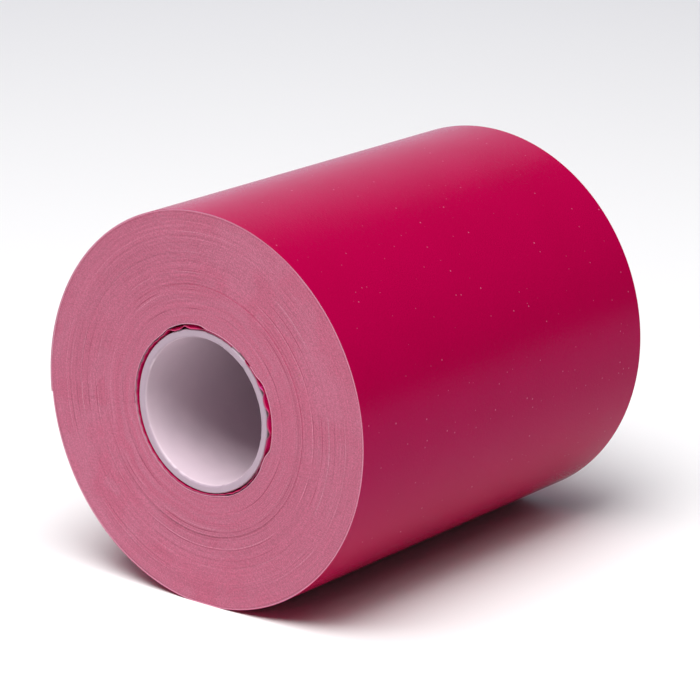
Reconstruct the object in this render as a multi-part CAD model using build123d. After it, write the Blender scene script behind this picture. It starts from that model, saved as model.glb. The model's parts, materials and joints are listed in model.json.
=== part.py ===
from build123d import *
import os
from math import asin, cos, degrees, pi, radians, sin

# Roll of sign vinyl, lying on its side, in millimetres.
# A self-adhesive vinyl film on a silicone-coated paper liner is wound on a plastic core.
# The roll's axis is Y, Z is up, and the origin is on the axis, half way along it.
# Angles are in degrees in the XZ plane, from +X towards +Z. The web winds outwards as
# the angle grows, and its free end lies on the -X side, where it can be lifted.

# --- driving dimensions -----------------------------------------------------------------
WEB_WIDTH = 100.0          # slit width of the web, and the length of the core
ROLL_RADIUS = 43.5         # from the axis to the outer face of the free end
CORE_BORE_RADIUS = 16.0    # a 32 mm spindle bore
CORE_WALL = 1.75
CORE_BORE_CHAMFER = 0.5    # bevel where the saw-cut end was cleaned up
CORE_RIM_CHAMFER = 0.2

FILM = 0.10                # vinyl film with its adhesive coat
LINER = 0.14               # paper release liner
AIR = 0.01                 # air wound in between two turns
PITCH = FILM + LINER + AIR

TAIL_ROOT_ANGLE = 130.0    # from here on the web can be lifted off the roll
PEEL_ANGLE = 150.0         # from here on the film can be peeled off the liner
TAIL_END_ANGLE = 185.0     # where the web ends
TAIL_GAP = 0.05            # the free end lies this far off the turn below it
PEEL_GAP = 0.03            # between the liner and the film that peels off it
SLIT = 0.12                # gap across the web at each hinge line

REST_FLAT = 9.0            # width of the flat that the roll's weight presses into its underside
REST_ANGLE = -90.0

COIL_BORE_RADIUS = 19.3    # where the tight winding begins
FIRST_SHIFT_RADIUS = 27.3  # the winding moves sideways at these two radii
SECOND_SHIFT_RADIUS = 34.2
SIDE_SHIFT = 0.12          # how far it moves
GROUP_GAP = 0.04           # between the turns on the two sides of a shift

TAPE = 0.12                # thickness of the double-sided tape on the core
TAPE_LENGTH = 12.0         # along the winding
TAPE_MARGIN = 2.0          # bare core at each end of the tape

LEAD_START_ANGLE = 35.0    # where the first turn of film leaves the tape
LEAD_SWEEP = 346.0
LEAD_WAVES = 22            # buckles round the first turn
LEAD_WAVE_HEIGHT = 0.36
LEAD_CLEARANCE = 0.06      # film to tape at its start, and film to liner at its end
POINTS_PER_WAVE = 4

# --- worked out from them ---------------------------------------------------------------
CORE_RADIUS = CORE_BORE_RADIUS + CORE_WALL
COIL_START_ANGLE = TAIL_END_ANGLE - 360.0
# Under the free end lies one more turn, so the tight coil ends a pitch further in.
COIL_END_RADIUS = ROLL_RADIUS - TAIL_GAP - LINER - PEEL_GAP - FILM - PITCH
SLIT_ANGLE = degrees(SLIT / ROLL_RADIUS)
FLAT_START_ANGLE = REST_ANGLE - degrees(asin(REST_FLAT / 2 / ROLL_RADIUS))
FLAT_END_ANGLE = REST_ANGLE + degrees(asin(REST_FLAT / 2 / ROLL_RADIUS))

# Lowest and highest face of each outer layer, above the outer face of the tight coil.
LAST_LINER = (AIR, AIR + LINER)
LAST_FILM = (LAST_LINER[1], LAST_LINER[1] + FILM)
TAIL_LINER = (TAIL_GAP, TAIL_GAP + LINER)
TAIL_FILM = (TAIL_LINER[1], TAIL_LINER[1] + FILM)
FREE_FILM = (TAIL_LINER[1] + PEEL_GAP, TAIL_LINER[1] + PEEL_GAP + FILM)


# --- the shape of a wound web -----------------------------------------------------------
def half_turn(angle):
    """Centre and radius of the coil's outer face at an angle, as one of two half circles.

    The two half circles have centres half a pitch apart, so that the radius grows by one
    pitch in a turn and the faces stay smooth where they meet.
    """
    start = radians(COIL_START_ANGLE)
    if angle < COIL_START_ANGLE + 180.0:
        offset, radius = -PITCH / 4, COIL_END_RADIUS + PITCH / 4
    else:
        offset, radius = PITCH / 4, COIL_END_RADIUS + 3 * PITCH / 4
    return (offset * cos(start), offset * sin(start)), radius


def coil_point(angle, height):
    """Point on the winding, this height above the coil's outer face."""
    (x, z), radius = half_turn(angle)
    reach = radius + height
    return x + reach * cos(radians(angle)), z + reach * sin(radians(angle))


def coil_curve(start, end, height):
    """Arcs along the winding between two angles, this height above the coil's outer face.

    Where the roll rests, a straight line takes the arc's place.
    """
    bounds = [FLAT_START_ANGLE, FLAT_END_ANGLE, COIL_START_ANGLE + 180.0]
    cuts = [start] + [bound for bound in bounds if start < bound < end] + [end]
    pieces = []
    for low, high in zip(cuts, cuts[1:]):
        if low == FLAT_START_ANGLE:
            pieces.append(Line(coil_point(low, height), coil_point(high, height)))
        else:
            centre, radius = half_turn((low + high) / 2)
            pieces.append(CenterArc(centre, radius + height, low, high - low))
    return pieces


def strip_face(inner, outer):
    """Face between two runs of lines, closed by a straight line at each end."""
    ends = [Line(inner[0] @ 0, outer[0] @ 0), Line(inner[-1] @ 1, outer[-1] @ 1)]
    return Face(Wire(inner + outer + ends))


def across_web(profile, width=WEB_WIDTH, shift=0.0):
    """Solid with this profile in the XZ plane, centred along Y and moved by shift."""
    block = extrude(Plane.XZ * profile, amount=width / 2, both=True)
    return Pos(0, shift, 0) * block


def wound_strip(start, end, heights):
    """Strip of the web on the coil, between two angles and two heights."""
    inner, outer = [coil_curve(start, end, height) for height in heights]
    return across_web(strip_face(inner, outer))


def round_strip(inner, outer, start, sweep, width=WEB_WIDTH):
    """Strip bent round the roll's axis between two radii."""
    arcs = [[CenterArc((0, 0), radius, start, sweep)] for radius in (inner, outer)]
    return across_web(strip_face(*arcs), width)


# --- parts ------------------------------------------------------------------------------
def core_tube():
    """Extruded tube, sawn to the web's width."""
    tube = across_web(Circle(CORE_RADIUS) - Circle(CORE_BORE_RADIUS))
    bore_edges = tube.edges().filter_by(GeomType.CIRCLE).group_by(SortBy.RADIUS)[0]
    tube = chamfer(bore_edges, CORE_BORE_CHAMFER)
    rim_edges = tube.edges().filter_by(GeomType.CIRCLE).group_by(SortBy.RADIUS)[-1]
    return chamfer(rim_edges, CORE_RIM_CHAMFER)


def start_tape():
    """Double-sided tape that holds the start of the web to the core."""
    sweep = degrees(TAPE_LENGTH / CORE_RADIUS)
    width = WEB_WIDTH - 2 * TAPE_MARGIN
    return round_strip(CORE_RADIUS, CORE_RADIUS + TAPE, LEAD_START_ANGLE, sweep, width)


def lead_film():
    """First turn of film. It starts on the tape, buckles in waves and ends under the coil."""
    on_tape = CORE_RADIUS + TAPE + LEAD_CLEARANCE
    under_liner = COIL_BORE_RADIUS - AIR - LINER - LEAD_CLEARANCE - FILM
    steps = LEAD_WAVES * POINTS_PER_WAVE

    def wavy_line(height):
        points = []
        for step in range(steps + 1):
            share = step / steps
            angle = radians(LEAD_START_ANGLE + LEAD_SWEEP * share)
            wave = LEAD_WAVE_HEIGHT * sin(pi * share) * sin(2 * pi * LEAD_WAVES * share)
            radius = on_tape + (under_liner - on_tape) * share + wave + height
            points.append((radius * cos(angle), radius * sin(angle)))
        return [Spline(*points)]

    return across_web(strip_face(wavy_line(0.0), wavy_line(FILM)))


def lead_liner():
    """First turn of liner. It lies against the inside of the coil."""
    outer = COIL_BORE_RADIUS - AIR
    return round_strip(outer - LINER, outer, LEAD_START_ANGLE, LEAD_SWEEP)


def inner_turns():
    """Tight turns next to the core, wound a little to the -Y side."""
    ring = Circle(FIRST_SHIFT_RADIUS) - Circle(COIL_BORE_RADIUS)
    return across_web(ring, shift=-SIDE_SHIFT)


def middle_turns():
    """Tight turns between the two shifts, wound a little to the +Y side."""
    ring = Circle(SECOND_SHIFT_RADIUS) - Circle(FIRST_SHIFT_RADIUS + GROUP_GAP)
    return across_web(ring, shift=SIDE_SHIFT)


def outer_turns():
    """Outermost tight turns. Their outer face is the spiral that the last turn lies on."""
    turn = coil_curve(COIL_START_ANGLE, TAIL_END_ANGLE, 0.0)
    step = Line(coil_point(TAIL_END_ANGLE, 0.0), coil_point(COIL_START_ANGLE, 0.0))
    return across_web(Face(Wire(turn + [step])) - Circle(SECOND_SHIFT_RADIUS + GROUP_GAP))


PARTS = {
    "core_tube": core_tube(),
    "start_tape": start_tape(),
    "lead_film": lead_film(),
    "lead_liner": lead_liner(),
    "inner_turns": inner_turns(),
    "middle_turns": middle_turns(),
    "outer_turns": outer_turns(),
    "last_turn_liner": wound_strip(COIL_START_ANGLE, TAIL_ROOT_ANGLE, LAST_LINER),
    "last_turn_film": wound_strip(COIL_START_ANGLE, TAIL_ROOT_ANGLE, LAST_FILM),
    "tail_liner": wound_strip(TAIL_ROOT_ANGLE + SLIT_ANGLE, TAIL_END_ANGLE, TAIL_LINER),
    "tail_film": wound_strip(TAIL_ROOT_ANGLE + SLIT_ANGLE, PEEL_ANGLE, TAIL_FILM),
    "film_end": wound_strip(PEEL_ANGLE + SLIT_ANGLE, TAIL_END_ANGLE, FREE_FILM),
}

# The free end turns about two lines on the outer face of its film.
HINGE_LINES = {
    "tail_lift": coil_point(TAIL_ROOT_ANGLE + SLIT_ANGLE, TAIL_FILM[1]),
    "film_peel": coil_point(PEEL_ANGLE + SLIT_ANGLE, FREE_FILM[1]),
}

os.makedirs("parts", exist_ok=True)
for node, shape in PARTS.items():
    export_step(shape, f"parts/{node}.step")

for joint, (x, z) in HINGE_LINES.items():
    print(joint, "turns about the line at x", round(x, 4), "z", round(z, 4))
turns = (COIL_END_RADIUS - COIL_BORE_RADIUS) / PITCH
length = turns * pi * (COIL_END_RADIUS + COIL_BORE_RADIUS) / 1000
print("tight turns", round(turns, 1), "with", round(length, 1), "metres of web")
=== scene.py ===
import json
import math
import random

import bpy
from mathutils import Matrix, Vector, noise


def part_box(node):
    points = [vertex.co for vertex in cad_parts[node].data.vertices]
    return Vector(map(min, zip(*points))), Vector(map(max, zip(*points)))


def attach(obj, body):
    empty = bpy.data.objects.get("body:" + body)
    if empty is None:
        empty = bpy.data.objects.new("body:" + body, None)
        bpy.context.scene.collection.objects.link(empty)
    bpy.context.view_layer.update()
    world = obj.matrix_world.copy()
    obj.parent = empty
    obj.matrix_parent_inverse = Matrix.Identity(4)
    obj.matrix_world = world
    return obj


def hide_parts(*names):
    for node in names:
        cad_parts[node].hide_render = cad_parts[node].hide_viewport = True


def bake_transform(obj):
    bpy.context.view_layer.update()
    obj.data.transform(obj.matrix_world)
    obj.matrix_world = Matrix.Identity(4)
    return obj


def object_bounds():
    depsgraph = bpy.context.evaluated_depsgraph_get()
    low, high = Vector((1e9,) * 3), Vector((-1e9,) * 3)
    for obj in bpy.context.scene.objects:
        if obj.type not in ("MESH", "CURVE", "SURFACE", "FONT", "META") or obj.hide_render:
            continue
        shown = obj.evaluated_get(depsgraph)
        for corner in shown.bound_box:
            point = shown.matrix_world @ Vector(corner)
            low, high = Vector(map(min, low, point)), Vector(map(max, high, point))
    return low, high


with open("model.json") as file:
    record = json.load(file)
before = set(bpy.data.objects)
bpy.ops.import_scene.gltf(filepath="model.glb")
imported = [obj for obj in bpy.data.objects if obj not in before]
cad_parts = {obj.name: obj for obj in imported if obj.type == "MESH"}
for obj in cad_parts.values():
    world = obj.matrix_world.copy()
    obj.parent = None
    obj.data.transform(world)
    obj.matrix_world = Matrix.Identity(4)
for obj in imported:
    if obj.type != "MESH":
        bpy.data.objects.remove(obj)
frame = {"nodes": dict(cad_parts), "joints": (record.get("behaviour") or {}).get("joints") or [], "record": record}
cadBox = [list(corner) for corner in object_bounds()]

# The roll lies on its side: its axis is Y, and angles run in the XZ plane from +X towards +Z.
# The web winds outwards as the angle grows. Lengths are metres.
mm = 0.001
turn = 2 * math.pi


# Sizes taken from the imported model.
def reach(node):  # farthest a node gets from the roll's axis, along X or Z
    low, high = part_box(node)
    return max(-low.x, high.x, -low.z, high.z)


def jointAt(name):  # a hinge's place and its angle round the roll
    place = Vector(next(j for j in frame["joints"] if j["name"] == name)["pos_m"])
    return place, math.degrees(math.atan2(place.z, place.x))


web = {
    "film": 0.10 * mm,  # vinyl with its adhesive
    "liner": 0.14 * mm,  # release paper
    "pitch": 0.25 * mm,  # one turn, with the air wound in
    "startAngle": -175.0,  # where the last turn leaves the coil, under the free end
    "endAngle": 185.0,
}
hair = 0.01 * mm  # a gap too thin to see, which keeps faces apart
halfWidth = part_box("outer_turns")[1].y
boreRadius = frame["record"]["mounts"][0]["dims"]["r_mm"] * mm
coreRadius = reach("core_tube")
coilInner = reach("lead_liner") + hair
innerOuter = reach("inner_turns")
middleOuter = reach("middle_turns")
floorHeight = cadBox[0][2]
tailRoot, tailRootAngle = jointAt("tail_lift")
peelRoot, peelAngle = jointAt("film_peel")
rollRadius = tailRoot.length  # outer face of the film at the tail's root
lastTurnSlack = 0.07 * mm  # air and lift between the coil and the last turn
wound = (tailRootAngle - web["startAngle"]) / 360  # part of a turn from its start to the tail's root
coilOuter = rollRadius - lastTurnSlack - web["film"] - web["liner"] - web["pitch"] * wound


# Helpers for modelling.
def pickOnly(piece):
    if bpy.context.object and bpy.context.object.mode != "OBJECT":
        bpy.ops.object.mode_set(mode="OBJECT")
    bpy.ops.object.select_all(action="DESELECT")
    piece.select_set(True)
    bpy.context.view_layer.objects.active = piece


def deselectAll():
    if bpy.context.object and bpy.context.object.mode != "OBJECT":
        bpy.ops.object.mode_set(mode="OBJECT")
    bpy.ops.object.select_all(action="DESELECT")


def drawLine(name, points):  # a line of edges, drawn by extruding one corner along the points
    deselectAll()
    bpy.ops.mesh.primitive_plane_add(size=mm, location=points[0])
    piece = bpy.context.object
    piece.name = name
    piece.data.name = name
    bpy.ops.object.transform_apply(location=True, rotation=True, scale=True)
    bpy.ops.object.mode_set(mode="EDIT")
    bpy.ops.mesh.select_mode(type="VERT")
    bpy.ops.mesh.select_all(action="SELECT")
    bpy.ops.mesh.merge(type="CENTER")
    for here, there in zip(points, points[1:]):
        step = Vector(there) - Vector(here)
        bpy.ops.mesh.extrude_region_move(TRANSFORM_OT_translate={"value": step})
    return piece


def spinRound(piece, steps, sweep):  # turns the whole line round the roll's axis, in edit mode
    bpy.ops.mesh.select_all(action="SELECT")
    bpy.ops.mesh.spin(
        steps=steps, angle=math.radians(sweep), center=(0, 0, 0), axis=(0, 1, 0), use_auto_merge=False
    )


def mergeAndFace(distance=0.001 * mm):  # closes the seam and points every face outwards, in edit mode
    bpy.ops.mesh.select_all(action="SELECT")
    bpy.ops.mesh.remove_doubles(threshold=distance)
    bpy.ops.mesh.select_all(action="SELECT")
    bpy.ops.mesh.normals_make_consistent(inside=False)
    bpy.ops.object.mode_set(mode="OBJECT")


def onCircle(radius, angle, y):
    return radius * math.cos(math.radians(angle)), y, radius * math.sin(math.radians(angle))


def angleOf(place, start):  # a point's angle round the roll, counted up from a start angle
    angle = math.degrees(math.atan2(place.z, place.x))
    while angle < start - 0.0001:
        angle += 360
    return angle


def setRadius(vertex, radius):  # moves a vertex straight out from the roll's axis
    now = math.hypot(vertex.co.x, vertex.co.z)
    vertex.co.x *= radius / now
    vertex.co.z *= radius / now


def applyModifier(piece, kind, **settings):
    pickOnly(piece)
    modifier = piece.modifiers.new(kind.title(), kind)
    for key, value in settings.items():
        setattr(modifier, key, value)
    bpy.ops.object.modifier_apply(modifier=modifier.name)


def finishPiece(piece, material, smoothAngle=30):
    pickOnly(piece)
    bpy.ops.object.transform_apply(location=True, rotation=True, scale=True)
    bpy.ops.object.shade_smooth_by_angle(angle=math.radians(smoothAngle))
    piece.data.materials.clear()
    piece.data.materials.append(material)


# Helpers for materials.
def toLinear(code):  # sRGB hex to the linear colour that a shader wants
    channels = [int(code[i : i + 2], 16) / 255 for i in (1, 3, 5)]
    linear = [c / 12.92 if c <= 0.04045 else ((c + 0.055) / 1.055) ** 2.4 for c in channels]
    return (*linear, 1)


def addNode(tree, kind, settings=None, links=None):
    node = tree.nodes.new(kind)
    for key, value in (settings or {}).items():
        if isinstance(key, int) or key in node.inputs.keys():
            node.inputs[key].default_value = value
        else:
            setattr(node, key, value)
    for key, (source, output) in (links or {}).items():
        tree.links.new(source.outputs[output], node.inputs[key])
    return node


def newMaterial(name):
    material = bpy.data.materials.new(name)
    material.use_nodes = True
    material.node_tree.nodes.clear()
    return material, material.node_tree


def finishMaterial(tree, settings, links):
    shader = addNode(tree, "ShaderNodeBsdfPrincipled", settings, links)
    addNode(tree, "ShaderNodeOutputMaterial", links={"Surface": (shader, "BSDF")})


def endFaceMask(tree, place, depth=0.03 * mm):  # 1 on the two end faces, 0 elsewhere
    parts = addNode(tree, "ShaderNodeSeparateXYZ", links={"Vector": (place, "Object")})
    away = addNode(tree, "ShaderNodeMath", {"operation": "ABSOLUTE"}, {0: (parts, "Y")})
    return addNode(
        tree,
        "ShaderNodeMapRange",
        {"From Min": halfWidth - depth, "From Max": halfWidth - depth / 3},
        {"Value": (away, "Value")},
    )


# Materials.
vinylLook = {
    # the slit edge's paler colour is partly the cut film's own and partly painted highlight along the rim
    "edge": "#B64368",
    "colour": "#AB0041",
    "deepColour": "#A4003C",
    "dustAndGlint": "#E07FA6",
    "roughness": 0.22,
    "specularLevel": 0.045,  # the tinted gloss below replaces most of the film's plain gloss
    "specularTint": (2, 0.8, 4.5, 1),  # the film's gloss is faint and turns lilac where it is strong
    "peelSize": 0.42 * mm,  # one dimple of the calendered surface, drawn coarse enough to show
    "peelDepth": 0.05 * mm,
    "mottleSize": 14 * mm,
    "dustAndGlintCell": 1.6 * mm,  # one pale speck in some of these cells, partly dust and partly painted glint
    "dustAndGlintSize": 0.25 * mm,  # the largest speck's radius
    "dustAndGlintStrength": 0.5,
}


# calendered PVC film: saturated and satin, with a fine orange peel that breaks up highlights
def makeVinyl():
    material, tree = newMaterial("calenderedVinylFilm")
    look = vinylLook
    place = addNode(tree, "ShaderNodeTexCoord")
    mottle = addNode(
        tree,
        "ShaderNodeTexNoise",
        {"Scale": 1 / look["mottleSize"], "Detail": 3.0},
        {"Vector": (place, "Object")},
    )
    body = addNode(
        tree,
        "ShaderNodeMix",
        {"data_type": "RGBA", 6: toLinear(look["colour"]), 7: toLinear(look["deepColour"])},
        {0: (mottle, "Fac")},
    )
    # pale specks, partly dust and partly painted glints
    cells = addNode(
        tree, "ShaderNodeTexVoronoi", {"Scale": 1 / look["dustAndGlintCell"]}, {"Vector": (place, "Object")}
    )
    chance = addNode(tree, "ShaderNodeSeparateColor", links={"Color": (cells, "Color")})
    size = addNode(
        tree,
        "ShaderNodeMapRange",
        {"From Min": 0.45, "From Max": 1.0, "To Min": 0.0, "To Max": look["dustAndGlintSize"] / look["dustAndGlintCell"]},
        {"Value": (chance, "Red")},
    )
    inside = addNode(
        tree, "ShaderNodeMath", {"operation": "SUBTRACT"}, {0: (size, "Result"), 1: (cells, "Distance")}
    )
    dustAndGlintSpeck = addNode(
        tree,
        "ShaderNodeMapRange",
        {"From Min": 0.0, "From Max": 0.09, "To Min": 0.0, "To Max": look["dustAndGlintStrength"]},
        {"Value": (inside, "Value")},
    )
    withDustAndGlints = addNode(
        tree,
        "ShaderNodeMix",
        {"data_type": "RGBA", 7: toLinear(look["dustAndGlint"])},
        {0: (dustAndGlintSpeck, "Result"), 6: (body, 2)},
    )
    # slit edges painted paler: partly the cut film's colour, partly painted highlight along the rim
    colour = addNode(
        tree,
        "ShaderNodeMix",
        {"data_type": "RGBA", 7: toLinear(look["edge"])},
        {0: (endFaceMask(tree, place), "Result"), 6: (withDustAndGlints, 2)},
    )
    peel = addNode(
        tree,
        "ShaderNodeTexNoise",
        {"Scale": 1 / look["peelSize"], "Detail": 2.0},
        {"Vector": (place, "Object")},
    )
    bump = addNode(
        tree, "ShaderNodeBump", {"Strength": 1.0, "Distance": look["peelDepth"]}, {"Height": (peel, "Fac")}
    )
    rough = addNode(
        tree,
        "ShaderNodeMapRange",
        {"To Min": look["roughness"] - 0.03, "To Max": look["roughness"] + 0.04},
        {"Value": (mottle, "Fac")},
    )
    finishMaterial(
        tree,
        {"IOR": 1.53, "Specular IOR Level": look["specularLevel"], "Specular Tint": look["specularTint"]},
        {"Base Color": (colour, 2), "Normal": (bump, "Normal"), "Roughness": (rough, "Result")},
    )
    return material


linerLook = {"colour": "#EFE9EC", "shade": "#E2DBDF", "edge": "#D78FA8", "fibre": 0.35 * mm}


# silicone-coated glassine: white and smooth, with a faint cloudy look-through
def makeLiner():
    material, tree = newMaterial("siliconeReleasePaper")
    place = addNode(tree, "ShaderNodeTexCoord")
    fibres = addNode(
        tree,
        "ShaderNodeTexNoise",
        {"Scale": 1 / linerLook["fibre"], "Detail": 4.0},
        {"Vector": (place, "Object")},
    )
    colour = addNode(
        tree,
        "ShaderNodeMix",
        {"data_type": "RGBA", 6: toLinear(linerLook["colour"]), 7: toLinear(linerLook["shade"])},
        {0: (fibres, "Fac")},
    )
    edged = addNode(
        tree,
        "ShaderNodeMix",
        {"data_type": "RGBA", 7: toLinear(linerLook["edge"])},
        {0: (endFaceMask(tree, place), "Result"), 6: (colour, 2)},
    )
    bump = addNode(
        tree, "ShaderNodeBump", {"Strength": 0.2, "Distance": 0.01 * mm}, {"Height": (fibres, "Fac")}
    )
    finishMaterial(
        tree, {"Roughness": 0.5, "IOR": 1.45}, {"Base Color": (edged, 2), "Normal": (bump, "Normal")}
    )
    return material


edgeLook = {
    "film": "#B54466",
    "liner": "#BB738B",
    # dark lines between the turns are painted shade in the gaps, pale lines are painted highlight on the turns'
    # edges
    "gap": "#74213C",
    "paleHighlight": "#D9A3B4",
    "speckle": 0.36 * mm,  # paper fibres torn by the slitting knife, drawn twice their real size to show
    "bands": 0.55,  # bands of turns, in bands to a turn of the web
    "waveSize": 9 * mm,  # the bands stray from circles over this length
    "patchSize": 13 * mm,  # the lines come and go over this length
    "blur": 0.06,  # softness of the border of film and paper, as a part of a turn
    "stain": "#A87A45",
    "stainCell": 11 * mm,
    "stainSize": 0.55 * mm,
}


# slit edges of film and paper: fine crimson and pale lines that read as dusty pink
def makeEdges():
    material, tree = newMaterial("slitWebEdges")
    look = edgeLook
    place = addNode(tree, "ShaderNodeTexCoord")
    parts = addNode(tree, "ShaderNodeSeparateXYZ", links={"Vector": (place, "Object")})
    flat = addNode(
        tree, "ShaderNodeVectorMath", {"operation": "MULTIPLY", 1: (1, 0, 1)}, {0: (place, "Object")}
    )
    radius = addNode(tree, "ShaderNodeVectorMath", {"operation": "LENGTH"}, {0: (flat, "Vector")})
    angle = addNode(tree, "ShaderNodeMath", {"operation": "ARCTAN2"}, {0: (parts, "Z"), 1: (parts, "X")})
    share = addNode(tree, "ShaderNodeMath", {"operation": "DIVIDE", 1: turn}, {0: (angle, "Value")})
    firstTurn = web["startAngle"] / 360 - coilOuter / web["pitch"]
    out = addNode(
        tree,
        "ShaderNodeMath",
        {"operation": "MULTIPLY_ADD", 1: 1 / web["pitch"], 2: firstTurn},
        {0: (radius, "Value")},
    )
    wave = addNode(
        tree,
        "ShaderNodeTexNoise",
        {"Scale": 1 / look["waveSize"], "Detail": 1.0},
        {"Vector": (place, "Object")},
    )
    waved = addNode(
        tree, "ShaderNodeMath", {"operation": "MULTIPLY_ADD", 1: 1.6}, {0: (wave, "Fac"), 2: (out, "Value")}
    )
    phase = addNode(
        tree, "ShaderNodeMath", {"operation": "SUBTRACT"}, {0: (waved, "Value"), 1: (share, "Value")}
    )
    within = addNode(tree, "ShaderNodeMath", {"operation": "FRACT"}, {0: (phase, "Value")})
    whole = addNode(tree, "ShaderNodeMath", {"operation": "FLOOR"}, {0: (phase, "Value")})
    along = addNode(tree, "ShaderNodeMath", {"operation": "ADD"}, {0: (whole, "Value"), 1: (share, "Value")})
    filmShare = web["film"] / web["pitch"]
    isLiner = addNode(
        tree,
        "ShaderNodeMapRange",
        {
            "From Min": filmShare - look["blur"],
            "From Max": filmShare + look["blur"],
            "interpolation_type": "SMOOTHSTEP",
        },
        {"Value": (within, "Value")},
    )
    base = addNode(
        tree,
        "ShaderNodeMix",
        {"data_type": "RGBA", 6: toLinear(look["film"]), 7: toLinear(look["liner"])},
        {0: (isLiner, "Result")},
    )
    bands = addNode(
        tree,
        "ShaderNodeTexNoise",
        {"noise_dimensions": "1D", "Scale": look["bands"], "Detail": 3.0, "Roughness": 0.75},
        {"W": (phase, "Value")},
    )
    patches = addNode(
        tree,
        "ShaderNodeTexNoise",
        {"Scale": 1 / look["patchSize"], "Detail": 1.0},
        {"Vector": (place, "Object")},
    )
    patchy = addNode(
        tree, "ShaderNodeMapRange", {"From Min": 0.4, "From Max": 0.62}, {"Value": (patches, "Fac")}
    )
    # dark lines are painted shade in the gaps between turns, pale lines painted highlight on the turns' edges
    gapShadeLine = addNode(
        tree,
        "ShaderNodeMapRange",
        {"From Min": 0.43, "From Max": 0.3, "To Min": 0.0, "To Max": 0.75},
        {"Value": (bands, "Fac")},
    )
    highlightLine = addNode(
        tree,
        "ShaderNodeMapRange",
        {"From Min": 0.6, "From Max": 0.72, "To Min": 0.0, "To Max": 0.5},
        {"Value": (bands, "Fac")},
    )
    gapShadeShare = addNode(
        tree, "ShaderNodeMath", {"operation": "MULTIPLY"}, {0: (gapShadeLine, "Result"), 1: (patchy, "Result")}
    )
    highlightShare = addNode(
        tree, "ShaderNodeMath", {"operation": "MULTIPLY"}, {0: (highlightLine, "Result"), 1: (patchy, "Result")}
    )
    gapShaded = addNode(
        tree,
        "ShaderNodeMix",
        {"data_type": "RGBA", 7: toLinear(look["gap"])},
        {0: (gapShadeShare, "Value"), 6: (base, 2)},
    )
    highlighted = addNode(
        tree,
        "ShaderNodeMix",
        {"data_type": "RGBA", 7: toLinear(look["paleHighlight"])},
        {0: (highlightShare, "Value"), 6: (gapShaded, 2)},
    )
    turnTone = addNode(
        tree,
        "ShaderNodeTexNoise",
        {"noise_dimensions": "1D", "Scale": 1.7, "Detail": 2.0, "Roughness": 0.6},
        {"W": (along, "Value")},
    )
    speckle = addNode(
        tree,
        "ShaderNodeTexNoise",
        {"Scale": 1 / look["speckle"], "Detail": 3.0, "Roughness": 0.7},
        {"Vector": (place, "Object")},
    )
    toneFactor = addNode(
        tree,
        "ShaderNodeMapRange",
        {"From Min": 0.3, "From Max": 0.7, "To Min": 0.93, "To Max": 1.06},
        {"Value": (turnTone, "Fac")},
    )
    grainFactor = addNode(
        tree,
        "ShaderNodeMapRange",
        {"From Min": 0.3, "From Max": 0.7, "To Min": 0.74, "To Max": 1.26},
        {"Value": (speckle, "Fac")},
    )
    tone = addNode(
        tree,
        "ShaderNodeMath",
        {"operation": "MULTIPLY"},
        {0: (toneFactor, "Result"), 1: (grainFactor, "Result")},
    )
    toned = addNode(
        tree, "ShaderNodeVectorMath", {"operation": "SCALE"}, {0: (highlighted, 2), "Scale": (tone, "Value")}
    )
    stains = addNode(
        tree, "ShaderNodeTexVoronoi", {"Scale": 1 / look["stainCell"]}, {"Vector": (place, "Object")}
    )
    stainRim = look["stainSize"] / look["stainCell"]
    isStain = addNode(
        tree,
        "ShaderNodeMapRange",
        {
            "From Min": stainRim,
            "From Max": 0.3 * stainRim,
            "To Min": 0.0,
            "To Max": 0.6,
        },
        {"Value": (stains, "Distance")},
    )
    colour = addNode(
        tree,
        "ShaderNodeMix",
        {"data_type": "RGBA", 7: toLinear(look["stain"])},
        {0: (isStain, "Result"), 6: (toned, "Vector")},
    )
    bump = addNode(
        tree, "ShaderNodeBump", {"Strength": 0.4, "Distance": 0.04 * mm}, {"Height": (speckle, "Fac")}
    )
    finishMaterial(
        tree, {"Roughness": 0.75, "IOR": 1.45}, {"Base Color": (colour, 2), "Normal": (bump, "Normal")}
    )
    return material


coreLook = {
    "colour": "#DCC8D2",
    "cloud": "#D0BDC8",
    # the end faces' greyer colour is painted shade
    "endFaceShade": "#B09AA9",
    "endFaceShadeDepth": 0.4 * mm,  # the painted shade of the end faces reaches this far over the rims
    "cloudSize": 6 * mm,
    "sawSize": 0.3 * mm,
}


# extruded polystyrene tube: milky white with a soft sheen, and painted greyer on its end faces as painted shade
def makeCorePlastic():
    material, tree = newMaterial("extrudedWhitePolystyrene")
    place = addNode(tree, "ShaderNodeTexCoord")
    cloud = addNode(
        tree,
        "ShaderNodeTexNoise",
        {"Scale": 1 / coreLook["cloudSize"], "Detail": 2.0},
        {"Vector": (place, "Object")},
    )
    body = addNode(
        tree,
        "ShaderNodeMix",
        {"data_type": "RGBA", 6: toLinear(coreLook["colour"]), 7: toLinear(coreLook["cloud"])},
        {0: (cloud, "Fac")},
    )
    # the end faces are painted greyer, as painted shade
    colour = addNode(
        tree,
        "ShaderNodeMix",
        {"data_type": "RGBA", 7: toLinear(coreLook["endFaceShade"])},
        {0: (endFaceMask(tree, place, coreLook["endFaceShadeDepth"]), "Result"), 6: (body, 2)},
    )
    grain = addNode(
        tree,
        "ShaderNodeTexNoise",
        {"Scale": 1 / coreLook["sawSize"], "Detail": 2.0},
        {"Vector": (place, "Object")},
    )
    bump = addNode(
        tree, "ShaderNodeBump", {"Strength": 0.2, "Distance": 0.02 * mm}, {"Height": (grain, "Fac")}
    )
    finishMaterial(
        tree, {"Roughness": 0.42, "IOR": 1.59}, {"Base Color": (colour, 2), "Normal": (bump, "Normal")}
    )
    return material


tapeLook = {"colour": "#DDD3B4", "deepColour": "#CFC39C", "smearSize": 2 * mm}


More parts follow.
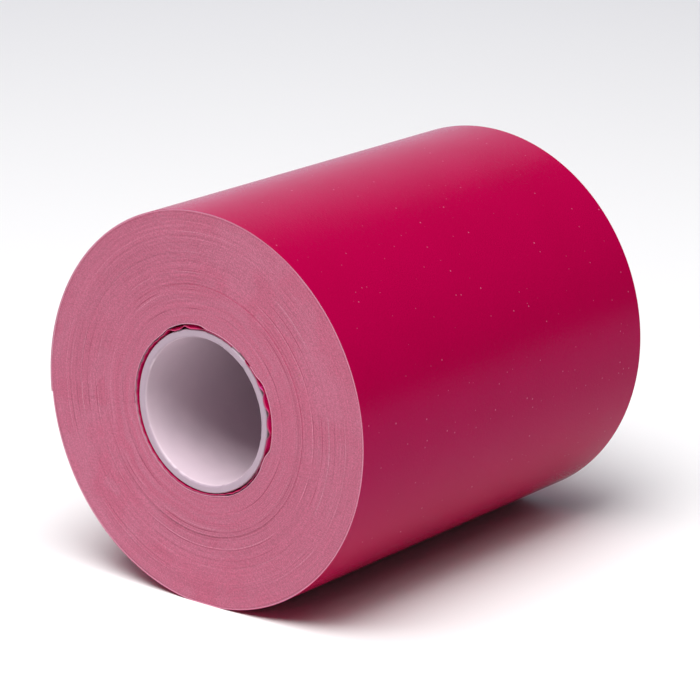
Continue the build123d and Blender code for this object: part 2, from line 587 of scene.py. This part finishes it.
# double-sided acrylic tape: yellowish and waxy
def makeTape():
    material, tree = newMaterial("doubleSidedAcrylicTape")
    place = addNode(tree, "ShaderNodeTexCoord")
    smear = addNode(
        tree, "ShaderNodeTexNoise", {"Scale": 1 / tapeLook["smearSize"]}, {"Vector": (place, "Object")}
    )
    colour = addNode(
        tree,
        "ShaderNodeMix",
        {"data_type": "RGBA", 6: toLinear(tapeLook["colour"]), 7: toLinear(tapeLook["deepColour"])},
        {0: (smear, "Fac")},
    )
    finishMaterial(tree, {"Roughness": 0.3, "IOR": 1.47}, {"Base Color": (colour, 2)})
    return material


vinyl = makeVinyl()
liner = makeLiner()
edges = makeEdges()
corePlastic = makeCorePlastic()
tape = makeTape()
print("materials made")


# Core tube.
core = {
    "segments": 384,
    "boreBevel": 0.5 * mm,
    "rimBevel": 0.2 * mm,
    "burrs": 26,
    "burrReach": 0.16 * mm,
    "seed": 4,
}


def makeCore():
    end, bore, rim = halfWidth, core["boreBevel"], core["rimBevel"]
    wall = coreRadius - boreRadius
    front = [
        (boreRadius, -end + 6 * bore),
        (boreRadius, -end + 2 * bore),
        (boreRadius, -end + bore),
        (boreRadius + bore * 0.25, -end + bore * 0.45),
        (boreRadius + bore * 0.8, -end + bore * 0.05),
        (boreRadius + wall * 0.55, -end),
        (coreRadius - rim, -end),
        (coreRadius, -end + rim),
    ]
    back = [(radius, -y) for radius, y in reversed(front)]
    loop = front + back + front[:1]
    piece = drawLine("coreTube", [onCircle(radius, 0, y) for radius, y in loop])
    spinRound(piece, core["segments"], 360)
    mergeAndFace()
    draws = random.Random(core["seed"])
    for _ in range(core["burrs"]):  # burrs and chips that the saw left round the bore's mouth
        centre = draws.uniform(-180, 180)
        spread = draws.uniform(0.8, 3.5)
        push = draws.uniform(-1, 1) * core["burrReach"]
        for vertex in piece.data.vertices:
            if vertex.co.y > -end + bore or math.hypot(vertex.co.x, vertex.co.z) > boreRadius + bore:
                continue
            away = abs(angleOf(vertex.co, centre - 180) - centre) / spread
            if away < 1:
                radius = math.hypot(vertex.co.x, vertex.co.z)
                setRadius(vertex, radius + push * (1 - away))
                vertex.co.y += abs(push) * (1 - away) * 0.6
    finishPiece(piece, corePlastic)
    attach(piece, "roll")
    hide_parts("core_tube")
    print("core tube made")


makeCore()


# How the first turns lie round the core.
loose = {
    "fadeRadius": 27 * mm,  # beyond this the turns are round
    # angle and room left between the core and the release paper of the first turn, in mm
    "room": [
        (-180, 0.78), (-155, 0.72), (-128, 0.62), (-104, 0.58), (-88, 0.42), (-74, 0.4),
        (-66, 0.75), (-48, 0.8), (-34, 0.72), (-25, 0.4), (-19, 0.5), (-15, 1.34),
        (8, 1.36), (29, 1.3), (36, 0.42), (48, 0.3), (84, 0.28), (91, 0.9),
        (104, 1.0), (118, 0.9), (127, 0.5), (140, 0.62), (150, 0.74), (180, 0.78),
    ],
}


def roomAt(angle):  # gap between the core and the first turn's paper, eased between the listed angles
    angle = (angle + 180) % 360 - 180
    for (start, low), (end, high) in zip(loose["room"], loose["room"][1:]):
        if start <= angle <= end:
            share = (angle - start) / (end - start)
            share = share * share * (3 - 2 * share)
            return (low + (high - low) * share) * mm
    return loose["room"][-1][1] * mm


def sagAt(radius, angle):  # how far the tight turns sag in towards the core
    deepest = coilInner - coreRadius - web["liner"] - 3 * hair - roomAt(angle)
    share = min(1, max(0, (loose["fadeRadius"] - radius) / (loose["fadeRadius"] - coilInner)))
    return deepest * share * share


rest = {
    "flatHalf": 4.5 * mm,  # half width of the flat under the roll
    "softRadius": 37 * mm,  # nearer the axis than this the turns stay round
    "reach": 20,  # degrees either side of the lowest line in which the flat lies
}


def flatAt(angle):  # depth of the flat that the roll's weight presses into its underside
    off = (angle + 90 + 180) % 360 - 180
    if abs(off) > rest["reach"]:
        return 0
    level = math.sqrt(rollRadius**2 - rest["flatHalf"] ** 2) / math.cos(math.radians(off))
    return max(0, rollRadius - level)


def settle(radius, angle):  # a point's radius once the roll rests on its flat
    share = min(1, max(0, (radius - rest["softRadius"]) / (rollRadius - rest["softRadius"])))
    return radius - flatAt(angle) * share


# Tight turns.
turns = {
    "columns": 192,
    "linerDip": 0.02 * mm,  # the paper's edge lies this far behind the film's
    "riser": 0.012 * mm,  # width of the little slope between them
    "sweep": 359.999,  # not quite a full turn, so that the two ends of the section stay apart
    "endMerge": 0.004 * mm,
    "wander": 0.03 * mm,  # how far the turns stray sideways from each other
    "wanderTurns": 2.2,  # number of turns over which they stray
    "wanderSpan": 40 * mm,  # length along a turn over which they stray
    "share": {"inner_turns": 0.7, "middle_turns": 0.2, "outer_turns": 1},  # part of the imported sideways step
}


def turnLine(inner, outer, y, side):  # the end face's section, turn by turn, from the inside out
    count = round((outer - inner) / web["pitch"])
    step = (outer - inner) / count
    filmWidth, riser = web["film"], turns["riser"]
    points = []
    for i in range(count):
        start = inner + i * step
        points += [
            (start + riser, y),
            (start + filmWidth - riser, y),
            (start + filmWidth, y - side * turns["linerDip"]),
            (start + step - riser / 2, y - side * turns["linerDip"]),
        ]
    points[0] = (inner, y)
    points[-1] = (outer, y - side * turns["linerDip"])
    return points


def sideShift(node):  # how far a group of turns stands to one side
    low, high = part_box(node)
    return turns["share"][node] * (low.y + high.y) / 2


def makeTurns(name, inner, outer, node):
    shift = sideShift(node)
    front = turnLine(inner, outer, shift - halfWidth, -1)
    back = turnLine(inner, outer, shift + halfWidth, 1)
    loop = front + back[::-1] + front[:1]
    start = web["startAngle"]
    piece = drawLine(name, [onCircle(radius, start, y) for radius, y in loop])
    spinRound(piece, turns["columns"], turns["sweep"])
    bpy.ops.object.mode_set(mode="OBJECT")
    sideways = math.copysign(1, shift) if shift else 1
    for vertex in piece.data.vertices:
        angle = angleOf(vertex.co, start)
        radius = math.hypot(vertex.co.x, vertex.co.z)
        spiral = radius + web["pitch"] * ((angle - start) / 360 - 0.5)  # rings become one winding
        setRadius(vertex, settle(spiral - sagAt(spiral, angle), angle))
        along = vertex.co / turns["wanderSpan"]
        drift = noise.noise(
            Vector((spiral / web["pitch"] / turns["wanderTurns"], along.x, along.z + sideways))
        )
        vertex.co.y += turns["wander"] * drift
    pickOnly(piece)
    bpy.ops.object.mode_set(mode="EDIT")
    bpy.ops.mesh.select_all(action="SELECT")
    bpy.ops.mesh.remove_doubles(threshold=turns["endMerge"])
    bpy.ops.mesh.select_all(action="DESELECT")
    bpy.ops.mesh.select_non_manifold()
    bpy.ops.mesh.fill_holes(sides=0)
    mergeAndFace(0.0005 * mm)
    finishPiece(piece, edges, 20)
    piece.data.materials.append(vinyl)
    for face in piece.data.polygons:  # the film's outer face shows where the free end lifts off
        radius = math.hypot(face.center.x, face.center.z)
        if abs(face.center.y) < halfWidth / 2 and radius > inner + web["pitch"]:
            face.material_index = 1
    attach(piece, "roll")
    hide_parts(node)
    print(name, "made with", len(piece.data.polygons), "faces")


halfPitch = web["pitch"] / 2
makeTurns("innerTurns", coilInner + halfPitch, innerOuter - hair, "inner_turns")
makeTurns("middleTurns", innerOuter + hair, middleOuter - hair, "middle_turns")
makeTurns("outerTurns", middleOuter + hair, coilOuter + halfPitch, "outer_turns")


# First turn, loose round the core.
lead = {
    "cornerStep": 3.5,  # degrees between the film's crests and hollows
    "startAngle": 62,
    "filmSweep": 350,
    # between these angles the film's edges lie on the core, with a few pleats, and elsewhere they wave
    "onCore": [(-17, 34), (90, 121)],
    "pleatEvery": 4,
    "rows": [0, 0.3 * mm, 0.7 * mm, 1.2 * mm],  # depth of each row of corners from the web's edge
    "linerStep": 3.0,
    "linerStart": 55,
    "linerSweep": 352,
    "easeAngle": 12,
    "proud": 0.14 * mm,  # how far the first turn sticks out at the front
    "seed": 11,
}


# a loose strip wound round the core, with radii at its edges and further in
def makeRibbon(name, endRadii, middleRadii, thickness, startAngle, step):
    points = [onCircle(radius, startAngle + i * step, -halfWidth) for i, radius in enumerate(endRadii)]
    piece = drawLine(name, points)
    bpy.ops.mesh.select_all(action="SELECT")
    rows = lead["rows"]
    widths = [there - here for here, there in zip(rows, rows[1:])]
    for width in widths + [2 * (halfWidth - rows[-1])] + widths[::-1]:
        bpy.ops.mesh.extrude_region_move(TRANSFORM_OT_translate={"value": (0, width, 0)})
    bpy.ops.object.mode_set(mode="OBJECT")
    for vertex in piece.data.vertices:
        i = round((angleOf(vertex.co, startAngle - step / 2) - startAngle) / step)
        share = min(1, (halfWidth - abs(vertex.co.y)) / rows[-1])
        setRadius(vertex, endRadii[i] + (middleRadii[i] - endRadii[i]) * share)
    applyModifier(piece, "SUBSURF", levels=2, render_levels=2, boundary_smooth="PRESERVE_CORNERS")
    applyModifier(piece, "SOLIDIFY", thickness=thickness, offset=0)
    pickOnly(piece)
    bpy.ops.object.mode_set(mode="EDIT")
    bpy.ops.mesh.select_all(action="SELECT")
    bpy.ops.transform.translate(value=(0, -lead["proud"], 0))
    mergeAndFace()
    return piece


def spiralAt(angle):  # how far the coil's inner face has wound out, easing back just before it starts
    done = (angle - web["startAngle"]) % 360
    return web["pitch"] * min(done / 360, (360 - done) / lead["easeAngle"])


def makeLeadFilm():
    draws = random.Random(lead["seed"])
    endRadii, middleRadii = [], []
    start, step = lead["startAngle"], lead["cornerStep"]
    for i in range(int(lead["filmSweep"] / step)):
        angle = (start + i * step + 180) % 360 - 180
        lowest = coreRadius + web["film"] * 0.7
        highest = coreRadius + roomAt(angle) + spiralAt(angle) - web["film"] * 0.7
        onCore = any(low < angle < high for low, high in lead["onCore"])
        if onCore:
            out = 0.9 if i % lead["pleatEvery"] == 0 else draws.uniform(0, 0.1)
            inside = 1
        else:
            out = 1 if i % 2 else draws.uniform(0.1, 0.5)
            inside = 0
        endRadii.append(lowest + (highest - lowest) * out)
        middleRadii.append(lowest + (highest - lowest) * inside)
    piece = makeRibbon("leadFilm", endRadii, middleRadii, web["film"], start, step)
    finishPiece(piece, vinyl, 60)
    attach(piece, "roll")
    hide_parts("lead_film")


def makeLeadLiner():
    start, step = lead["linerStart"], lead["linerStep"]
    radii = []
    for i in range(int(lead["linerSweep"] / step)):
        angle = start + i * step
        radii.append(coreRadius + roomAt(angle) + spiralAt(angle) + web["liner"] / 2 + 2 * hair)
    piece = makeRibbon("leadLiner", radii, radii, web["liner"], start, step)
    finishPiece(piece, liner, 60)
    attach(piece, "roll")
    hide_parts("lead_liner")


makeLeadFilm()
makeLeadLiner()
frame["nodes"]["start_tape"].data.materials.clear()
frame["nodes"]["start_tape"].data.materials.append(tape)
print("first turn made")


# Last turn and free end.
skin = {
    "columnsPerDegree": 2,
    "rows": 12,
    "bend": 12 * mm,  # the lifted end curves over this length
    "peelBend": 9 * mm,  # and the peeled film over this length
    "lift": 0.05 * mm,  # the free end stands this far off the coil
    "filmLift": 0.03 * mm,  # and the end of its film this far off its paper
}


def coilAt(angle):  # radius of the tight coil's outer face
    return coilOuter + web["pitch"] * (angle - web["startAngle"]) / 360


def makeSkin(name, start, end, heightAt, thickness, material):  # one layer of the last turn
    columns = round((end - start) * skin["columnsPerDegree"])
    rows = [halfWidth * (2 * i / skin["rows"] - 1) for i in range(skin["rows"] + 1)]
    piece = drawLine(name, [onCircle(rollRadius, start, y) for y in rows])
    spinRound(piece, columns, end - start)
    bpy.ops.object.mode_set(mode="OBJECT")
    for vertex in piece.data.vertices:
        angle = angleOf(vertex.co, start)
        setRadius(vertex, settle(coilAt(angle) + heightAt(angle) + thickness / 2, angle))
    applyModifier(piece, "SOLIDIFY", thickness=thickness, offset=0)
    pickOnly(piece)
    bpy.ops.object.mode_set(mode="EDIT")
    mergeAndFace()
    finishPiece(piece, material, 30)
    return piece


def linerHeight(angle):  # underside of the last turn's paper above the coil
    free = max(0, angle - tailRootAngle) / (web["endAngle"] - tailRootAngle)
    return hair + skin["lift"] * min(1, free * 3)


def filmHeight(angle):  # underside of its film
    peeled = max(0, angle - peelAngle) / (web["endAngle"] - peelAngle)
    return linerHeight(angle) + web["liner"] + skin["filmLift"] * min(1, peeled * 2)


def makeLastTurn():
    start, root, peel, end = web["startAngle"], tailRootAngle, peelAngle, web["endAngle"]
    filmPiece = makeSkin("lastTurnFilm", start, root, filmHeight, web["film"], vinyl)
    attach(filmPiece, "roll")
    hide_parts("last_turn_film")
    linerPiece = makeSkin("lastTurnLiner", start, root, linerHeight, web["liner"], liner)
    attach(linerPiece, "roll")
    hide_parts("last_turn_liner")
    tailFilm = makeSkin("tailFilm", root, peel, filmHeight, web["film"], vinyl)
    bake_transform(tailFilm)
    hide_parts("tail_film")
    tailLiner = makeSkin("tailLiner", root, end, linerHeight, web["liner"], liner)
    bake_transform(tailLiner)
    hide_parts("tail_liner")
    filmEnd = makeSkin("filmEnd", peel, end, filmHeight, web["film"], vinyl)
    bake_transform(filmEnd)
    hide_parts("film_end")
    print("last turn and free end made")


makeLastTurn()


# Floor, lights and camera.
stageLook = {
    "radius": 0.88,  # the film mirrors the floor as far out as this
    "colour": "#F2F1F1",
    "cloud": "#EFEEEE",
    "cloudSize": 1 / 3,
    "corners": 256,
}


def makeFloor():
    deselectAll()
    bpy.ops.mesh.primitive_circle_add(
        vertices=stageLook["corners"],
        radius=stageLook["radius"],
        fill_type="NGON",
        location=(0, 0, floorHeight),
    )
    floor = bpy.context.object
    floor.name = "floor"
    material, tree = newMaterial("paintedStudioFloor")
    place = addNode(tree, "ShaderNodeTexCoord")
    cloud = addNode(
        tree, "ShaderNodeTexNoise", {"Scale": 1 / stageLook["cloudSize"]}, {"Vector": (place, "Object")}
    )
    colour = addNode(
        tree,
        "ShaderNodeMix",
        {"data_type": "RGBA", 6: toLinear(stageLook["colour"]), 7: toLinear(stageLook["cloud"])},
        {0: (cloud, "Fac")},
    )
    finishMaterial(tree, {"Roughness": 0.9}, {"Base Color": (colour, 2)})
    floor.data.materials.append(material)


lights = [  # name, azimuth, elevation, size, power and colour
    ("keySoftbox", 10, 68, (1.2, 1.0), 27, (1, 1, 1)),
    ("rightSoftbox", 45, 62, (1.2, 1.0), 9.5, (1, 1, 1)),
    ("backSoftbox", -142, 14, (1.2, 1.3), 4.9, (0.78, 0.82, 1)),
]
lightDistance = 1.5
roomLight = {"colour": (0.95, 0.95, 1, 1), "strength": 0.08}


def directionTo(azimuth, elevation):  # azimuth 0 is in front of the roll, at -Y, and 90 is at +X
    a, e = math.radians(azimuth), math.radians(elevation)
    return Vector((math.sin(a) * math.cos(e), -math.cos(a) * math.cos(e), math.sin(e)))


def makeLights():
    for name, azimuth, elevation, (width, height), power, colour in lights:
        lamp = bpy.data.lights.new(name, "AREA")
        lamp.shape = "RECTANGLE"
        lamp.size, lamp.size_y, lamp.energy, lamp.color = width, height, power, colour
        holder = bpy.data.objects.new(name, lamp)
        bpy.context.scene.collection.objects.link(holder)
        direction = directionTo(azimuth, elevation)
        holder.location = direction * lightDistance
        holder.rotation_euler = direction.to_track_quat("Z", "Y").to_euler()
    world = bpy.data.worlds.new("studioRoom")
    world.use_nodes = True
    world.node_tree.nodes["Background"].inputs["Color"].default_value = roomLight["colour"]
    world.node_tree.nodes["Background"].inputs["Strength"].default_value = roomLight["strength"]
    bpy.context.scene.world = world
    bpy.context.scene.view_settings.view_transform = "Standard"


view = {
    "scale": 43.34 * mm,  # the roll's mean outer radius, in which distance and aim are counted
    "azimuth": 38.56,
    "elevation": 16.52,
    "distance": 17.437,
    "lens": 176.2,
    "aim": (0.003, -0.007, 0.047),
}


def makeCamera():
    data = bpy.data.cameras.new("camera")
    data.lens = view["lens"]
    data.sensor_width = 36
    data.clip_start = 0.01
    camera = bpy.data.objects.new("camera", data)
    bpy.context.scene.collection.objects.link(camera)
    back = directionTo(view["azimuth"], view["elevation"])
    camera.location = (Vector(view["aim"]) + back * view["distance"]) * view["scale"]
    camera.rotation_euler = back.to_track_quat("Z", "Y").to_euler()
    bpy.context.scene.camera = camera


makeFloor()
makeLights()
makeCamera()
print("floor, lights and camera set")
